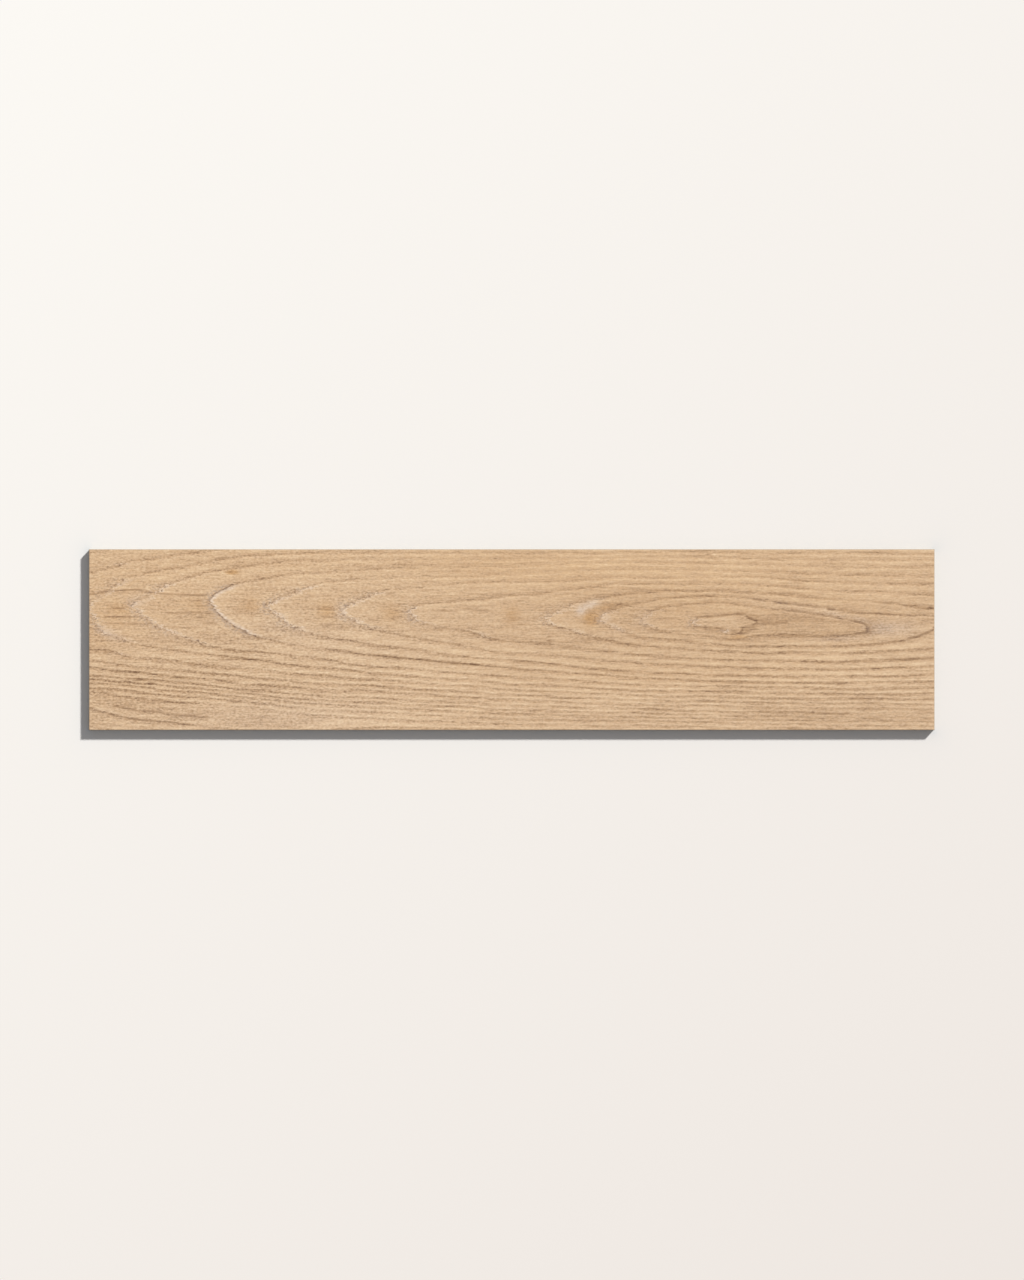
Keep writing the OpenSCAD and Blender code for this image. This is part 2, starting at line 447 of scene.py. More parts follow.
def add(tree, kind, inputs=None, **settings):
    """The outputs of a new node. Its inputs go by name or by number."""
    node = tree.nodes.new(kind)
    for name, setting in settings.items():
        setattr(node, name, setting)
    for slot, source in (inputs or {}).items():
        feed(tree, node.inputs[slot], source)
    return node.outputs


class Value:
    """A number that varies over a surface: a node's output, with arithmetic."""

    def __init__(self, tree, socket):
        self.tree, self.socket = tree, socket

    def math(self, operation, *others):
        terms = dict(enumerate((self, *others)))
        return Value(self.tree, add(self.tree, "ShaderNodeMath", terms, operation=operation)[0])

    def __add__(self, other):
        return self.math("ADD", other)

    def __sub__(self, other):
        return self.math("SUBTRACT", other)

    def __mul__(self, other):
        return self.math("MULTIPLY", other)

    def __truediv__(self, other):
        return self.math("DIVIDE", other)

    def __neg__(self):
        return self * -1

    def reversed(self):
        """1 where this is 0, and 0 where it is 1."""
        return self * -1 + 1

    def within(self):
        """This, kept from 0 to 1."""
        return self.math("MINIMUM", 1.0).math("MAXIMUM", 0.0)

    def above(self, low, high):
        """0 below low, 1 over high, and smooth in between."""
        ends = {"Value": self, "From Min": low, "From Max": high}
        outputs = add(self.tree, "ShaderNodeMapRange", ends, interpolation_type="SMOOTHSTEP")
        return Value(self.tree, outputs["Result"])

    def bell(self, width):
        """1 at zero, falling to nothing over about the width on either side."""
        scaled = self / width
        return (-(scaled * scaled)).math("EXPONENT")


def noise(x, y, name):
    """Soft noise from 0 to 1, out of the table of noises."""
    long, wide, seed, detail, roughness = NOISES[name]
    point = add(x.tree, "ShaderNodeCombineXYZ", {"X": x / long, "Y": y / wide, "Z": seed})
    inputs = {"Vector": point[0], "Scale": 1.0, "Detail": detail, "Roughness": roughness}
    return Value(x.tree, add(x.tree, "ShaderNodeTexNoise", inputs)[0])


def spots(x, y, name):
    """The spots of a noise: 1 inside them and 0 outside, with soft rims."""
    return noise(x, y, name).above(*SPOT_RIMS[name])


def split(tree, vector):
    """The three parts of a vector output."""
    return [Value(tree, part) for part in add(tree, "ShaderNodeSeparateXYZ", {0: vector})]


def blend_colours(tree, amount, under, over, blend="MIX"):
    """The under colour turning into the over colour; each is a socket or a fixed colour."""
    # A mix node has its colours in the sockets six and seven
    inputs = {"Factor": amount, 6: under, 7: over}
    return add(tree, "ShaderNodeMix", inputs, data_type="RGBA", blend_type=blend)[2]


def ramp(tree, amount, stops):
    """A colour read off a line of (amount, colour) stops."""
    node = tree.nodes.new("ShaderNodeValToRGB")
    elements = node.color_ramp.elements
    while len(elements) < len(stops):
        elements.new(1.0)
    for element, (stop, colour) in zip(elements, stops):
        element.position = stop
        element.color = (*colour, 1)
    feed(tree, node.inputs["Fac"], amount)
    return node.outputs["Color"]


def paint(red, green, blue):
    """A colour written as it shows on a screen, from 0 to 255."""
    return tuple(
        c / 12.92 if c <= 0.04045 else ((c + 0.055) / 1.055) ** 2.4
        for c in (red / 255, green / 255, blue / 255)
    )


# The grain

# Every noise: the length and the width of its blobs in millimetres, a seed of
# its own, its detail and its roughness
NOISES = {
    # Fibres that pull a ring's line to and fro, along the plank and across it
    "fray": (60, 3, 3.1, 2, 0.6),
    "sway": (14, 5, 8.4, 2, 0.5),
    # The grains that a line crumbles into, and the dots and dashes of its core
    "crumbs": (3.4, 2.4, 15, 1, 0.5),
    "dots": (3, 2, 9.2, 1, 0.5),
    "dashes": (8, 2.4, 5.7, 1.5, 0.6),
    # Long stretches where a ring is stronger. Its width is in RING_STEP's unit
    "strength": (55, 1, 1.9, 2, 0.5),
    "pores": (8, 1.5, 12.3, 1, 0.5),
    # The relief alone
    "pits": (9, 1.6, 12.3, 1, 0.5),
    "waves": (90, 9, 30.5, 2, 0.5),
    # The print alone, from fine to broad
    "speck": (3.2, 1.7, 44, 1, 0.6),
    "grit": (3.6, 2.2, 95, 1, 0.5),
    "fibre": (10, 1.7, 17.5, 1.5, 0.6),
    "strand": (34, 1.8, 83.5, 2, 0.65),
    "streak": (90, 5, 27.5, 2, 0.6),
    "cloud": (120, 22, 61.5, 2, 0.5),
    "hue": (6, 3, 71, 1, 0.5),
    "glaze": (30, 4, 21, 2, 0.5),
    # The bare body
    "fired": (70, 30, 14.2, 3, 0.5),
    "wheel": (14, 0.12, 6.6, 2, 0.5),
    "rubbed": (40, 7, 4.4, 4, 0.6),
    "dusty": (3, 2, 7.7, 2, 0.5),
    "sand": (0.6, 0.6, 3.3, 2, 0.5),
}
# From where to where in a noise the rims of its spots run
SPOT_RIMS = {
    "dots": (0.42, 0.56),
    "dashes": (0.38, 0.56),
    "strength": (0.3, 0.65),
    "pores": (0.6, 0.74),
    "pits": (0.62, 0.75),
    "hue": (0.3, 0.7),
    "fired": (0.35, 0.7),
    "rubbed": (0.36, 0.6),
    "dusty": (0.3, 0.6),
}
# How far the fibres pull a line along the plank and across, in millimetres, and
# the share of that pull that is lost where the rings close on the right
FRAY, SWAY = 15, 2.2
RIGHT_CALM = 0.75
# The least slope that counts, in rings per millimetre
LEAST_SLOPE = 0.012
# How squarely the field runs along the plank where a line counts as an arch's
# tip, and across it where a line is pressed into the face
TIP_HEADING = (0.12, 0.5)
PRESSED_HEADING = (0.15, 0.7)
# How far the grains lie off a line, and off an arch's tip, in millimetres
LINE_CRUMBS, TIP_CRUMBS = 2.4, 10
# The left end is rough, with lines of dots, and the rest has lines of dashes
# from between these places on
ROUGH_TO = (-260, 60)
# The soft body and the fine core of a line: half width and darkness
LINE_SOFT, LINE_SOFT_DARK = 1.9, 0.36
LINE_CORE, LINE_CORE_DARK = 0.95, 0.62
# Each ring reads the noise of its strength in a place of its own
RING_STEP = 7.3


def grain(x, y, ring, slope_x, slope_y):
    """What the print and the relief share, from place in millimetres and the ring field."""
    calm = (-slope_x).above(0, 0.01) * -RIGHT_CALM + 1
    fray = (noise(x, y, "fray") - 0.5) * FRAY * calm
    sway = (noise(x, y, "sway") - 0.5) * SWAY
    ring = ring + slope_x * fray + slope_y * sway
    steep = (slope_x * slope_x + slope_y * slope_y).math("SQRT").math("MAXIMUM", LEAST_SLOPE)
    nearest = ring.math("ROUND")
    heading = slope_x / steep
    left_tip = heading.above(*TIP_HEADING)
    # One arch is drawn crisply, and the tips of the others crumble into grains
    crisp = (nearest - CRISP_RING).bell(0.5)
    crumble = left_tip * crisp.reversed() * TIP_CRUMBS + LINE_CRUMBS
    # Millimetres from the nearest ring, towards the heart of the figure
    inward = (ring - nearest) / steep + (noise(x, y, "crumbs") - 0.5) * crumble
    rough = x.above(*ROUGH_TO).reversed()
    core = spots(x, y, "dots") * (rough * 0.7 + 0.15)
    core = core + spots(x, y, "dashes") * (rough * -0.7 + 0.85)
    line = inward.bell(LINE_SOFT) * LINE_SOFT_DARK + inward.bell(LINE_CORE) * core * LINE_CORE_DARK
    strength = spots(x, nearest * RING_STEP, "strength") * 0.5 + 0.5
    return SimpleNamespace(
        x=x, y=y, ring=ring, nearest=nearest, steep=steep, inward=inward, crisp=crisp, rough=rough,
        line=line * strength, pores=spots(x, y, "pores"),
        along=(slope_y / steep).math("ABSOLUTE").above(*PRESSED_HEADING),
        left_tip=left_tip, right_tip=(-heading).above(*TIP_HEADING),
    )


# The camera

# The whole picture, in pixels and in metres on the face of the tile
PICTURE_W, PICTURE_H = 1024, 1280
FACE_W_IN_PICTURE = 845.8
METRES_WIDE = LENGTH * PICTURE_W / FACE_W_IN_PICTURE
METRES_HIGH = METRES_WIDE * PICTURE_H / PICTURE_W
# How far the face's middle is from the picture's middle, in pixels
FACE_LEFT_OF_MIDDLE, FACE_ABOVE_MIDDLE = 0.3, 0.25
LENS = 135


def make_camera():
    """Looks straight down on the face, framed as in the photograph."""
    data = bpy.data.cameras.new("camera")
    data.lens = LENS
    camera = place("camera", data)
    pixel = METRES_WIDE / PICTURE_W
    camera.location = (
        FACE_LEFT_OF_MIDDLE * pixel,
        -FACE_ABOVE_MIDDLE * pixel,
        cad_high.z + METRES_HIGH * data.lens / data.sensor_width,
    )
    bpy.context.scene.camera = camera


# The floor and the light

FLOOR_SIZE = 8.0
# The floor lies a hair below the ribs, so no two faces share one plane
FLOOR_BELOW = 0.02 * MM
# The floor runs from a warm white, up and to the left, to a faint pink grey,
# by these shares of the way across and down the picture
FLOOR_WHITE = paint(252, 249, 244)
FLOOR_PINK = paint(238, 231, 225)
ACROSS_SHARE, DOWN_SHARE = 0.36, 0.64
BACKDROP = paint(246, 242, 237)
# Painted shade on the floor beside the tile, by colour: the floor's own tone is taken down there by
# about as much light as the tile's sunlit walls throw on the floor beside them
FLOOR_PAINTED_SHADE = (0.18, 0.118, 0.066)
# The shadow falls to the left and towards the viewer, a little longer than
# the tile is thick
SHADOW_PER_HEIGHT = (-1.09, -1.17)
# How much of the light on the floor is left in the shadow, by colour: a touch
# of blue evens out what the tile's shaded walls add
SHADE = (0.264, 0.268, 0.281)
SUN_WIDTH = math.radians(5)


def floor_colour(tree):
    """The floor's soft change of tone over the picture, with painted shade beside the tile."""
    x, y, _ = split(tree, add(tree, "ShaderNodeTexCoord")["Object"])
    along = x * (ACROSS_SHARE / METRES_WIDE) - y * (DOWN_SHARE / METRES_HIGH)
    tone = blend_colours(tree, (along + 0.5).within(), FLOOR_WHITE, FLOOR_PINK)
    # Painted shade: the floor is darker beside the tile on all four sides, by the share of light a
    # wall as high as the tile is thick would throw there
    out_x = (x.math("ABSOLUTE") - LENGTH / 2).math("MAXIMUM", 0.0)
    out_y = (y.math("ABSOLUTE") - WIDTH / 2).math("MAXIMUM", 0.0)
    square = out_x * out_x + out_y * out_y
    beside = (square / (square + THICKNESS ** 2)).math("SQRT").reversed()
    painted_shade_tint = tuple(1 - part for part in FLOOR_PAINTED_SHADE)
    return blend_colours(tree, beside, tone, painted_shade_tint, "MULTIPLY")


def make_floor():
    half, z = FLOOR_SIZE / 2, cad_low.z - FLOOR_BELOW
    corners = [(-half, -half, z), (half, -half, z), (half, half, z), (-half, half, z)]
    mesh = bpy.data.meshes.new("floor")
    mesh.from_pydata(corners, [], [(0, 1, 2, 3)])
    material = bpy.data.materials.new("studio_floor")
    material.use_nodes = True
    tree = material.node_tree
    shader = tree.nodes["Principled BSDF"]
    feed(tree, shader.inputs["Base Color"], floor_colour(tree))
    shader.inputs["Roughness"].default_value = 1.0
    shader.inputs["Specular IOR Level"].default_value = 0.0
    mesh.materials.append(material)
    floor = place("floor", mesh)


def make_sun():
    direction = Vector((*SHADOW_PER_HEIGHT, -1)).normalized()
    data = bpy.data.lights.new("sun", "SUN")
    # A white floor under the sun and the world together shows as white
    data.energy = math.pi / -direction.z
    data.color = [1 - part for part in SHADE]
    data.angle = SUN_WIDTH
    place("sun", data).rotation_euler = direction.to_track_quat("-Z", "Y").to_euler()


def make_world():
    """An even light all round, which the camera and reflections see as the pale backdrop."""
    world = bpy.data.worlds.new("studio")
    bpy.context.scene.world = world
    world.use_nodes = True
    tree = world.node_tree
    lit = tree.nodes["Background"]
    lit.inputs["Color"].default_value = (*SHADE, 1)
    shown = add(tree, "ShaderNodeBackground", {"Color": BACKDROP})
    path = add(tree, "ShaderNodeLightPath")
    seen = Value(tree, path["Is Camera Ray"])
    for ray in ("Is Glossy Ray", "Is Transmission Ray"):
        seen = seen.math("MAXIMUM", Value(tree, path[ray]))
    mix = add(tree, "ShaderNodeMixShader", {0: seen, 1: lit.outputs[0], 2: shown[0]})
    feed(tree, tree.nodes["World Output"].inputs["Surface"], mix[0])


# The tile's mesh

# Cells of the face, even along the plank so that a column of points is at its middle
CELLS_LONG, CELLS_WIDE = 250, 312
# The pockets' edges are rounded by this much, but not those of the outer rim
POCKET_ROUND = 0.25 * MM
POCKET_EDGE = math.radians(20)
OUTER_RIM = 2 * MM
# Faces smaller than this are the narrow rounded strips, in square metres
STRIP_AREA = 10 * MM ** 2
# Points closer than this are one, and faces flatter than this are one
ONE_POINT = 1e-6
ONE_FLAT = math.radians(1)
# How far a point may be from the CAD box's sides and still lie on them
ON_BOX = 1e-5
SHARP = math.radians(35)


def back_of_cad():
    """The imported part's underside and lower edges, merged and with rounded pockets."""
    bm = bmesh.new()
    bm.from_mesh(CAD.data)
    bmesh.ops.remove_doubles(bm, verts=bm.verts, dist=ONE_POINT)
    middle = cad_low.z + THICKNESS / 2
    upper = [f for f in bm.faces if max(v.co.z for v in f.verts) > middle]
    bmesh.ops.delete(bm, geom=upper, context="FACES")
    bmesh.ops.dissolve_limit(bm, angle_limit=ONE_FLAT, verts=bm.verts, edges=bm.edges)
    pocket_edges = [
        e for e in bm.edges
        if len(e.link_faces) == 2 and e.calc_face_angle() > POCKET_EDGE and all(
            abs(v.co.x) < LENGTH / 2 - OUTER_RIM and abs(v.co.y) < WIDTH / 2 - OUTER_RIM
            for v in e.verts
        )
    ]
    bmesh.ops.bevel(
        bm, geom=pocket_edges, offset=POCKET_ROUND, segments=1, affect="EDGES", profile=0.5)
    return bm


def add_back(points, faces):
    """Adds the back. Says which of its faces are shaded round, and its four outer corners."""
    bm = back_of_cad()
    bm.verts.ensure_lookup_table()
    bm.verts.index_update()
    points += [tuple(v.co) for v in bm.verts]
    faces += [[v.index for v in f.verts] for f in bm.faces]
    # Only the narrow rounded strips are shaded round, not the flats beside them
    smooth = [f.calc_area() < STRIP_AREA for f in bm.faces]
    corners = {
        (v.co.x > 0, v.co.y > 0): v.index for v in bm.verts
        if v.is_boundary
        and abs(abs(v.co.x) - cad_high.x) < ON_BOX and abs(abs(v.co.y) - cad_high.y) < ON_BOX
    }
    bm.free()
    return smooth, corners


def top_edges_of_cad():
    """Half sizes of the flat face inside the arris, and the arris's width."""
    high = [v.co for v in CAD.data.vertices if v.co.z > cad_high.z - ON_BOX]
    half_l = max(p.x for p in high)
    return half_l, max(p.y for p in high), cad_high.x - half_l


def add_face(points, faces, half_l, half_w):
    """Adds the face as a grid, row by row from the near edge. Gives its point numbers."""
    xs = np.linspace(-half_l, half_l, CELLS_LONG + 1)
    ys = np.linspace(-half_w, half_w, CELLS_WIDE + 1)
    grid_x, grid_y = (a.ravel() for a in np.meshgrid(xs, ys))
    at = len(points) + np.arange(len(grid_x)).reshape(CELLS_WIDE + 1, CELLS_LONG + 1)
    points += zip(grid_x, grid_y, np.full(len(grid_x), cad_high.z))
    cells = np.stack([at[:-1, :-1], at[:-1, 1:], at[1:, 1:], at[1:, :-1]], 2)
    faces += cells.reshape(-1, 4).tolist()
    return at


def add_arrises(points, faces, rows, arris):
    """Adds the four arrises, each from the face's edge down and out to the wall.

    Gives the point at the foot of each one on the face's edge, and the way
    down to it.
    """
    near, right, far, left = rows
    around = near + right[1:] + far[1:] + left[1:-1]
    ends, sides = set(right + left), set(near + far)
    foot, way_down = {}, {}
    for index in around:
        x, y, _ = points[index]
        way_down[index] = Vector((
            math.copysign(1, x) if index in ends else 0,
            math.copysign(1, y) if index in sides else 0,
            -1,
        ))
        foot[index] = len(points)
        points.append(tuple(Vector(points[index]) + way_down[index] * arris))
    for a, b in zip(around, around[1:] + around[:1]):
        faces.append([a, foot[a], foot[b], b])
    return foot, way_down


def add_walls(points, faces, rows, foot, corners):
    """Adds the four walls, each one face down to the back's ground edge."""
    for row in rows:
        first, last = (corners[points[i][0] > 0, points[i][1] > 0] for i in (row[0], row[-1]))
        faces.append([foot[i] for i in row][::-1] + [first, last])


def keep(mesh, name, kind, field, values):
    """Keeps a value at each point of the mesh under a name, for the nodes to read."""
    mesh.attributes.new(name, kind, "POINT").data.foreach_set(field, values.ravel())


def make_plank():
    points, faces = [], []
    smooth, corners = add_back(points, faces)
    half_l, half_w, arris = top_edges_of_cad()
    back_faces = len(faces)
    at = add_face(points, faces, half_l, half_w)
    printed = range(back_faces, len(faces))
    # The face's near, right, far and left edges, each from where the last one ends
    rows = list(at[0]), list(at[:, -1]), list(at[-1])[::-1], list(at[:, 0])[::-1]
    foot, way_down = add_arrises(points, faces, rows, arris)
    add_walls(points, faces, rows, foot, corners)

    mesh = bpy.data.meshes.new("plank")
    mesh.from_pydata(points, [], faces)
    smooth += [True] * (len(faces) - len(smooth))
    mesh.polygons.foreach_set("use_smooth", smooth)
    # The first material is the print's, and the second that of the bare body
    slots = [0 if number in printed else 1 for number in range(len(faces))]
    mesh.polygons.foreach_set("material_index", slots)
    mesh.update()
    mesh.set_sharp_from_angle(angle=SHARP)

    x, y, _ = (np.array(points) / MM).T
    slide = np.zeros((len(points), 3))
    slide[at.ravel(), 2] = -1
    for index, direction in way_down.items():
        slide[index] = direction
    keep(mesh, "figure", "FLOAT_VECTOR", "vector", RingField(RINGS, BETWEEN_RINGS).at(x, y))
    keep(mesh, "patches", "FLOAT_COLOR", "color", patches_at(x, y))
    keep(mesh, "marks", "FLOAT", "value", marks_at(x, y))
    keep(mesh, "slide", "FLOAT_VECTOR", "vector", slide)
    return place("plank", mesh)


# The relief

RING_DEPTH = 0.10 * MM
PIT_DEPTH = 0.05 * MM
WAVE_DEPTH = 0.06 * MM


def relief_nodes():
    """Geometry nodes that press each point of the face along its slide direction."""
    tree = bpy.data.node_groups.new("relief", "GeometryNodeTree")
    for way in ("INPUT", "OUTPUT"):
        tree.interface.new_socket("Geometry", in_out=way, socket_type="NodeSocketGeometry")
    figure, slide = (
        add(tree, "GeometryNodeInputNamedAttribute", {"Name": name}, data_type="FLOAT_VECTOR")[0]
        for name in ("figure", "slide")
    )
    x, y, _ = split(tree, add(tree, "GeometryNodeInputPosition")[0])
    g = grain(x / MM, y / MM, *split(tree, figure))
    depth = g.line * g.along * RING_DEPTH + spots(g.x, g.y, "pits") * PIT_DEPTH
    depth = depth + noise(g.x, g.y, "waves") * WAVE_DEPTH
    move = add(tree, "ShaderNodeVectorMath", {"Vector": slide, "Scale": depth}, operation="SCALE")
    start = add(tree, "NodeGroupInput")
    placed = add(tree, "GeometryNodeSetPosition", {"Geometry": start[0], "Offset": move[0]})
    add(tree, "NodeGroupOutput", {0: placed[0]})
    return tree


def press_relief(piece):
    """Presses the grain into the face for good."""
    piece.modifiers.new("relief", "NODES").node_group = relief_nodes()
    graph = bpy.context.evaluated_depsgraph_get()
    pressed = bpy.data.meshes.new_from_object(
        piece.evaluated_get(graph), preserve_all_data_layers=True, depsgraph=graph)
    piece.modifiers.clear()
    piece.data = pressed


# The map for baking

# A square map, in its own pixels. The face lies on it in two halves, one over
# the other, with the back below them and the four walls in upright columns
MAP_SIZE = 1024
MAP_GAP = 4
FACE_PER_METRE, BACK_PER_METRE = 2090, 1040
WALL_COLUMN, WALL_COLUMN_W = 954, 16
# A face that looks up or down by more than this isn't a wall
UPRIGHT = 0.3


def read_out(items, field, kind=float, columns=1):
    """One of the fields of all a mesh's parts, as an array."""
    rows = np.empty(len(items) * columns, kind)
    items.foreach_get(field, rows)
    return rows.reshape(-1, columns) if columns > 1 else rows


def lay_out_map(mesh):
    """Gives every corner of the mesh its place on the map that a bake uses."""
    corners = read_out(mesh.polygons, "loop_total", int)
    points = read_out(mesh.vertices, "co", columns=3)
    places = points[read_out(mesh.loops, "vertex_index", int)]
    x, y, z = (places - np.array(cad_low)).T
    middle_x = np.repeat(read_out(mesh.polygons, "center", columns=3)[:, 0], corners)
    normals = read_out(mesh.polygons, "normal", columns=3)
    nx, ny, nz = np.repeat(normals, corners, axis=0).T
    on_face, on_back = nz > UPRIGHT, nz < -UPRIGHT
    on_end = ~on_face & ~on_back & (abs(nx) > abs(ny))

    # The walls, each turned so that none lies mirrored
    half_high = WIDTH * FACE_PER_METRE + MAP_GAP
    column = np.where(on_end, 2, np.where(ny > 0, 1, 0))
    u = WALL_COLUMN + (WALL_COLUMN_W + MAP_GAP) * column + z / THICKNESS * WALL_COLUMN_W
    along_end = np.where(nx > 0, WIDTH - y, y) * FACE_PER_METRE + half_high * (nx > 0)
    along_side = np.where(ny > 0, x, LENGTH - x) / LENGTH * (MAP_SIZE - 2 * MAP_GAP)
    v = MAP_GAP + np.where(on_end, along_end, along_side)

    # The arrises go with the face and the back that they run into
    half = np.where(middle_x < 0, 0, 1)
    face_u = MAP_GAP + (x - half * LENGTH / 2) * FACE_PER_METRE
    face_v = MAP_GAP + WIDTH * BACK_PER_METRE + MAP_GAP + y * FACE_PER_METRE + half_high * half
    back_u, back_v = MAP_GAP + (LENGTH - x) * BACK_PER_METRE, MAP_GAP + y * BACK_PER_METRE
    u = np.where(on_face, face_u, np.where(on_back, back_u, u))
    v = np.where(on_face, face_v, np.where(on_back, back_v, v))
    layer = mesh.uv_layers.new(name="OFBake")
    layer.uv.foreach_set("vector", (np.stack([u, v], 1) / MAP_SIZE).ravel())


# The printed face

# The tones of the print, from the darkest pore to the lightest fibre
OAK_TONES = (
    (0.0, paint(108, 78, 54)),
    (0.25, paint(166, 134, 103)),
    (0.5, paint(210, 178, 144)),
    (0.75, paint(233, 204, 168)),
    (1.0, paint(248, 226, 196)),
)
OAK_WARM = paint(211, 171, 127)
# What a full stain lets through of each colour
STAIN = (0.86, 0.74, 0.56)
SILVER = paint(182, 159, 139)
PALE = paint(234, 212, 190)
CHALK = paint(222, 205, 190)
# What each part of the grain adds to the tone of the print where it is full
TONE = SimpleNamespace(
    middle=0.49,
    # Noises, taken about their middles. The specks are stronger where the face
    # is rough or chalky, or where a tip crumbles
    speck=0.45, rough_speck=0.32, chalky_speck=0.15, crumbled_speck=0.6,
    fibre=0.45, strand=0.45, streak=0.25, cloud=0.2,
    # The end of a wide ring, its line, the pale rim inside that, the pale wood
    # between close lines, and the pores
    late=-0.05, line=-0.35, rim=0.10, between=0.10, pores=-0.10,
    # The arches' tips: the crumbled band outside, the wood inside, the line,
    # what the crisp arch's line has on top, and the line at a right end
    crumbled=0.035, inside=0.05, tip_line=0.12, crisp_line=0.16, right_line=-0.07,
)
# Bands beside a ring's line: how far inward the middle of each is, and about
# how far it reaches either way, in millimetres
BANDS = {
    "rim": (2.4, 1.2),
    "crumbled": (-3.5, 5.5),
    "inside": (5.5, 5.0),
    "tip_line": (0, 0.8),
    "right_line": (0, 1.5),
    "silver": (-2.0, 4.5),
    "pale": (1.9, 1.3),
}
# Millimetres from ring to ring between which a ring comes to count as wide
WIDE_RING = (9, 34)
# How boldly the lines are drawn where no patch says otherwise
USUAL_BOLDNESS = 0.66
# The roughness of the glaze at its least, and what its noise and a line add
GLAZE_ROUGHNESS, GLAZE_VARIES, LINE_ROUGHNESS = 0.58, 0.12, 0.1
GLAZE_SPECULAR = 0.4
GLAZE_BUMP = 0.05 * MM


def new_surface(name):
    """A new material with its shader, and the place on the piece in millimetres."""
    material = bpy.data.materials.new(name)
    material.use_nodes = True
    tree = material.node_tree
    shader = tree.nodes["Principled BSDF"]
    coordinates = add(tree, "ShaderNodeTexCoord")
    x, y, z = (part / MM for part in split(tree, coordinates["Object"]))
    return SimpleNamespace(
        material=material, tree=tree, shader=shader, coordinates=coordinates, x=x, y=y, z=z)


def dress(surface, colour, roughness, specular, height, depth):
    """Gives a surface its looks; the height bumps it by up to the depth."""
    bump = {"Strength": 1.0, "Distance": depth, "Height": height}
    looks = {
        "Base Color": colour, "Roughness": roughness, "Specular IOR Level": specular,
        "Normal": add(surface.tree, "ShaderNodeBump", bump)[0],
    }
    for slot, source in looks.items():
        feed(surface.tree, surface.shader.inputs[slot], source)
    return surface.material


def read(tree, name):
    """What the mesh keeps under a name, for a material."""
    return add(tree, "ShaderNodeAttribute", attribute_name=name)


def band(g, name):
    """1 in the middle of a band beside the nearest ring's line, fading to both sides."""
    middle, reach = BANDS[name]
    return (g.inward - middle).bell(reach)


def print_tone(g):
    """The tone of the print, which runs from 0 to 1."""
    late = (g.ring - g.ring.math("FLOOR")).math("POWER", 3.0)
    between = (g.ring - g.nearest).math("ABSOLUTE").above(0.15, 0.45) * g.wide_ring.reversed()
    # Outside its line, an arch's tip is a band of pale and dark grains
    crumbled = band(g, "crumbled") * g.tip * (g.crisp * -0.8 + 1)
    share = g.rough * TONE.rough_speck + g.chalk * TONE.chalky_speck
    share = share + crumbled * TONE.crumbled_speck + TONE.speck
    tip_line = g.crisp * TONE.crisp_line + TONE.tip_line
    parts = (
        (g.speck - 0.5) * share,
        crumbled * TONE.crumbled,
        (g.fibre - 0.5) * TONE.fibre,
        (g.strand - 0.5) * TONE.strand,
        band(g, "inside") * g.tip * TONE.inside,
        (g.streak - 0.5) * TONE.streak,
        (g.cloud - 0.5) * TONE.cloud,
        g.patch_tone,
        TONE.middle,
        late * g.wide_ring * TONE.late,
        band(g, "rim") * TONE.rim,
        between * TONE.between * g.bold,
        g.pores * TONE.pores,
        g.line * g.bold * TONE.line,
        g.right_tip * band(g, "right_line") * TONE.right_line,
        -(g.tip * band(g, "tip_line") * tip_line),
        # A mark is broken up a little by the specks
        -(g.marks * (g.speck.above(0.35, 0.5) * 0.5 + 0.5)),
    )
    return sum(parts[1:], parts[0])


def print_colour(tree, g):
    """The colour of the print: its tone, with veils of other colours over it."""
    grains, gaps = g.grit.above(0.42, 0.6), g.grit.above(0.56, 0.38)
    veils = (
        (spots(g.x, g.y, "hue") * 0.25, OAK_WARM, "MIX"),
        ((g.stain * (g.fibre.above(0.3, 0.6) * 0.4 + 0.6)).within(), STAIN, "MULTIPLY"),
        # The arches' tips: silver grains across the line, and a pale lip inside it
        (band(g, "silver") * g.tip * (grains * 0.42 + 0.06), SILVER, "MIX"),
        (band(g, "pale") * g.tip * (gaps * 0.5 + g.crisp * 0.1 + 0.2), PALE, "MIX"),
        ((g.chalk * (g.speck.above(0.34, 0.62) * 0.28 + 0.22)).within(), CHALK, "MIX"),
    )
    colour = ramp(tree, print_tone(g), OAK_TONES)
    for amount, veil, blend in veils:
        colour = blend_colours(tree, amount, colour, veil, blend)
    return colour


def oak_print():
    """The printed and glazed face."""
    surface = new_surface("oak_print")
    tree, x, y = surface.tree, surface.x, surface.y
    g = grain(x, y, *split(tree, read(tree, "figure")["Vector"]))
    patches = read(tree, "patches")
    g.patch_tone, g.stain, g.chalk = split(tree, patches["Vector"])
    g.bold = Value(tree, patches["Alpha"]) + USUAL_BOLDNESS
    g.marks = Value(tree, read(tree, "marks")["Fac"])
    g.wide_ring = g.steep.math("POWER", -1.0).above(*WIDE_RING)
    g.tip = g.left_tip * g.wide_ring * (g.bold * 0.9 + 0.4)
    for name in ("speck", "grit", "fibre", "strand", "streak", "cloud"):
        setattr(g, name, noise(x, y, name))
    roughness = noise(x, y, "glaze") * GLAZE_VARIES + GLAZE_ROUGHNESS + g.line * LINE_ROUGHNESS
    height = g.fibre * 0.5 - g.line - g.pores * 0.7
    return dress(
        surface, print_colour(tree, g), roughness, GLAZE_SPECULAR, height, GLAZE_BUMP)


# The bare body

BODY = paint(176, 155, 130)
BODY_FLECK = paint(136, 115, 93)
BODY_LIGHT = paint(208, 192, 170)
BODY_FIRED = paint(163, 139, 113)
KILN_WASH = paint(216, 207, 192)
# Crushed grains of the body, half a millimetre across. Each has a number from
# 0 to 1, and these are where the dark and the light ones begin
GRAIN_SIZE = 0.45 * MM
DARK_GRAINS, LIGHT_GRAINS = (0.82, 0.9), (0.12, 0.05)
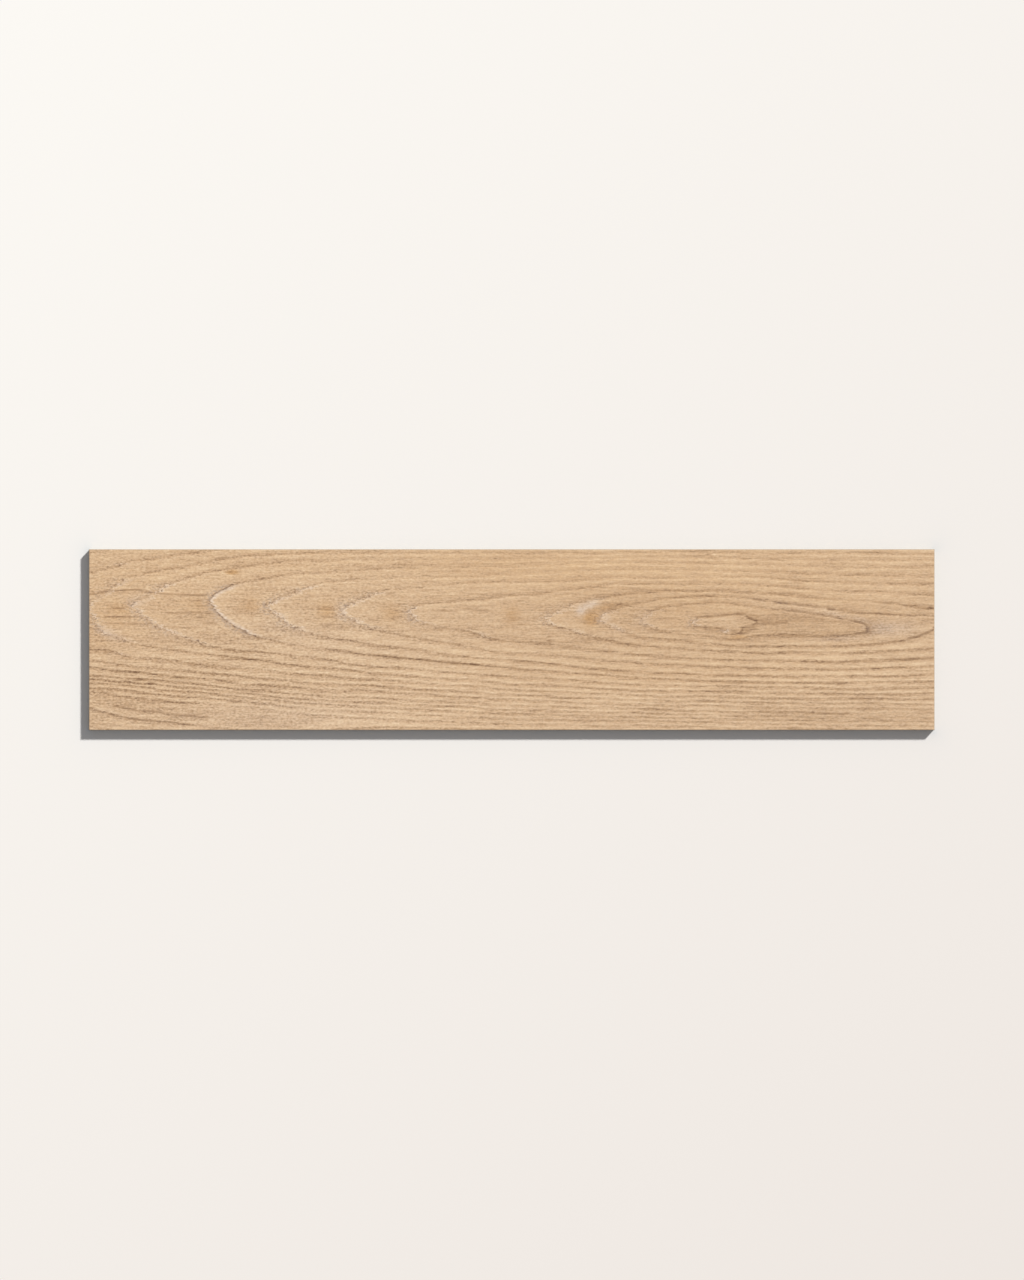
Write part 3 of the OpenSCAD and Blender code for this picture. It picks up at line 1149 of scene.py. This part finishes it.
# Heights between which the kiln wash on the ribs and the rim ends, in millimetres
WASH_ENDS = (0.27, 0.12)
# How far a normal points up or down on the back, and on an edge
DOWNWARD, SIDEWAYS = (0.3, 0.8), (0.8, 0.3)
# The body's roughness at its least, and what its sand and the pressed back add
BODY_ROUGHNESS, SAND_ROUGHNESS, BACK_ROUGHNESS = 0.6, 0.12, 0.12
BODY_SPECULAR = 0.35
BODY_BUMP = 0.06 * MM


def porcelain_body():
    """The bare body on the ground edges and the pressed back."""
    surface = new_surface("porcelain_body")
    tree, x, y, z = surface.tree, surface.x, surface.y, surface.z
    upward = split(tree, surface.coordinates["Normal"])[2]
    facing_down = (-upward).above(*DOWNWARD)
    on_side = upward.math("ABSOLUTE").above(*SIDEWAYS)

    grains = {"Scale": 1 / GRAIN_SIZE, "Vector": surface.coordinates["Object"]}
    pick = split(tree, add(tree, "ShaderNodeTexVoronoi", grains)["Color"])[0]
    # The white wash that the kiln rollers rub off, on the ribs and the rim
    rubbed = spots(x, y, "rubbed") * (spots(x, y, "dusty") * 0.4 + 0.6)
    wash = z.above(*WASH_ENDS) * facing_down * rubbed
    colour = blend_colours(tree, pick.above(*DARK_GRAINS) * 0.55, BODY, BODY_FLECK)
    colour = blend_colours(tree, pick.above(*LIGHT_GRAINS) * 0.4, colour, BODY_LIGHT)
    colour = blend_colours(tree, spots(x, y, "fired") * 0.35, colour, BODY_FIRED)
    colour = blend_colours(tree, wash * 0.75, colour, KILN_WASH)

    # The wheels leave fine lines along the ground edges
    wheel = noise(x + y, z, "wheel") * on_side
    sand = noise(x, y + z * 1.7, "sand")
    roughness = sand * SAND_ROUGHNESS + facing_down * BACK_ROUGHNESS + BODY_ROUGHNESS
    height = sand * (facing_down * 0.7 + 0.3) + wheel * 0.6
    return dress(surface, colour, roughness, BODY_SPECULAR, height, BODY_BUMP)


make_camera()
make_floor()
make_sun()
make_world()

plank = make_plank()
press_relief(plank)
lay_out_map(plank.data)
plank.data.materials.append(oak_print())
plank.data.materials.append(porcelain_body())

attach(plank, "root")
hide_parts("plank_tile")

bpy.context.scene.view_settings.view_transform = "Standard"
